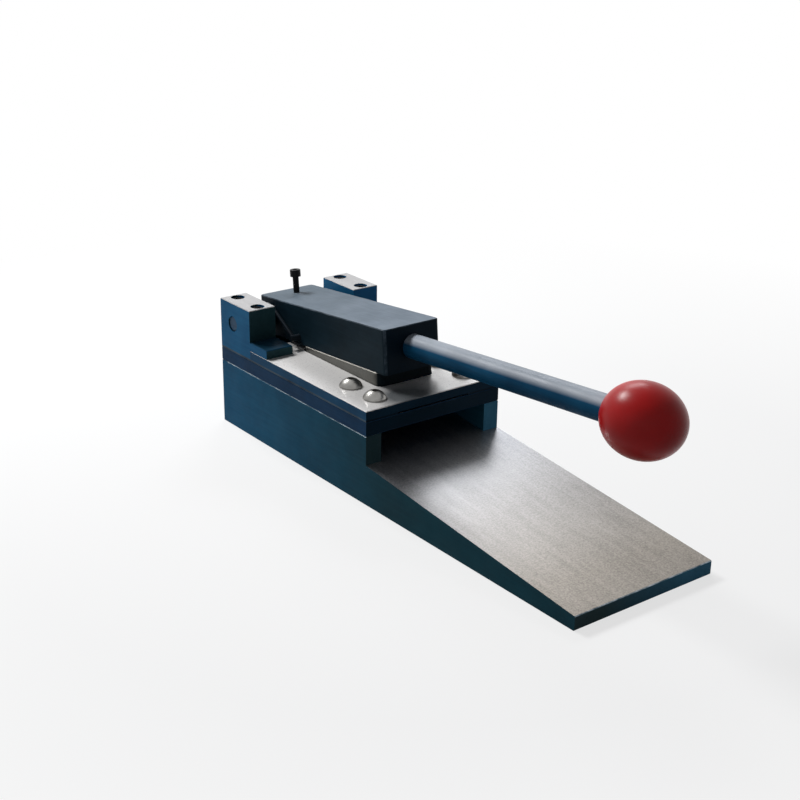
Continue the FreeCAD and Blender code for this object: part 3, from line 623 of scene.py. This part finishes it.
def tube(name, path, radius, sides=SPRING_SIDES):
    """A round wire along a path, with rounded ends."""
    mesh = bmesh.new()
    first = (path[1] - path[0]).normalized()
    last = (path[-1] - path[-2]).normalized()
    points = list(path)
    sizes = [1.0] * len(points)
    for share, size in TIP_ROUNDING:
        points.insert(0, path[0] - first * radius * share)
        points.append(path[-1] + last * radius * share)
        sizes.insert(0, size)
        sizes.append(size)
    sideways = first.orthogonal().normalized()
    rings = []
    for index, point in enumerate(points):
        ahead = points[min(index + 1, len(points) - 1)] - points[max(index - 1, 0)]
        ahead.normalize()
        sideways = (sideways - ahead * sideways.dot(ahead)).normalized()
        other = ahead.cross(sideways)
        ring = []
        for step in range(sides):
            turn = 2 * math.pi * step / sides
            arm = sideways * math.cos(turn) + other * math.sin(turn)
            ring.append(mesh.verts.new(point + arm * radius * sizes[index]))
        rings.append(ring)
    for one, two in zip(rings, rings[1:]):
        for step in range(sides):
            after = (step + 1) % sides
            mesh.faces.new((one[step], one[after], two[after], two[step]))
    mesh.faces.new(list(reversed(rings[0])))
    mesh.faces.new(rings[-1])
    return as_object(name, mesh)


def as_object(name, mesh):
    bmesh.ops.recalc_face_normals(mesh, faces=mesh.faces)
    data = bpy.data.meshes.new(name)
    mesh.to_mesh(data)
    mesh.free()
    for face in data.polygons:
        face.use_smooth = True
    piece = bpy.data.objects.new(name, data)
    bpy.context.scene.collection.objects.link(piece)
    return piece


# the spring, in mm; the rest of its route follows from the pieces that it touches
WIRE_RADIUS = 1.2
COIL_RADIUS = 8.2
COIL_PITCH = 2.6
FULL_TURNS = 2
TOUCH_GAP = 0.1
UPPER_LEG_PAST_PIN = 3.0
LOWER_LEG_TIP_Y = 120.0
RINGS_PER_TURN = 28


def box_mm(name):
    """The low and high corner of a CAD piece, in mm."""
    low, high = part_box(name)
    return Vector(low) / MM, Vector(high) / MM


def leg_line(target, side, offset, past):
    """The angle at which a straight leg leaves the coil, and its tip as (y, z).  The leg passes
    the target at an offset; side is -1 for the leg over the coil, +1 for the one under it."""
    centre = HINGE / MM
    dy = target[0] - centre.y
    dz = target[1] - centre.z
    gap = math.hypot(dy, dz)
    turn = math.atan2(dz, dy) + side * math.acos((COIL_RADIUS + offset) / gap)
    run = math.sqrt(gap ** 2 - (COIL_RADIUS + offset) ** 2) + past
    heading = turn - side * math.pi / 2
    tip = (centre.y + COIL_RADIUS * math.cos(turn) + run * math.cos(heading),
           centre.z + COIL_RADIUS * math.sin(turn) + run * math.sin(heading))
    return turn, tip


def spring_route():
    """The right spring's centre line as points in mm, from the upper leg's tip to the lower's."""
    centre = HINGE / MM
    pins = box_mm("spring_pins")
    middle = (pins[0] + pins[1]) / 2
    pin_radius = (pins[1].y - pins[0].y) / 2
    plate_top = box_mm("stripper_plate")[1].z
    upper_turn, upper_tip = leg_line((middle.y, middle.z), -1, pin_radius + WIRE_RADIUS + TOUCH_GAP,
                                     UPPER_LEG_PAST_PIN)
    lower_turn, lower_tip = leg_line((LOWER_LEG_TIP_Y, plate_top + WIRE_RADIUS + TOUCH_GAP), 1, 0, 0)
    turns = (upper_turn - lower_turn) / (2 * math.pi)
    turns += FULL_TURNS - math.floor(turns)      # the full turns and the part turn
    length = COIL_PITCH * turns
    # the coil sits halfway between the lever's side and the ear
    inner = (box_mm("lever_block")[1].x + box_mm("right_ear")[0].x - length) / 2
    path = [Vector((inner, upper_tip[0], upper_tip[1]))]
    steps = int(turns * RINGS_PER_TURN)
    for step in range(steps + 1):
        share = step / steps
        turn = upper_turn - 2 * math.pi * turns * share
        path.append(Vector((inner + length * share,
                            centre.y + COIL_RADIUS * math.cos(turn),
                            centre.z + COIL_RADIUS * math.sin(turn))))
    path.append(Vector((inner + length, lower_tip[0], lower_tip[1])))
    return path


def make_spring(name, side, material):
    path = spring_route()
    path = [Vector((side * point.x, point.y, point.z)) * MM for point in path]
    wire = tube(name + "_wire", path, WIRE_RADIUS * MM)
    wire.data.materials.append(material)
    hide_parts(name)
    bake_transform(wire)


bpy.context.scene.view_settings.view_transform = "Standard"
make_camera()
make_world()
make_lights()
make_floor()
materials = make_materials()
finish_nodes(materials)
make_spring("right_spring", 1, materials["spring"])
make_spring("left_spring", -1, materials["spring"])
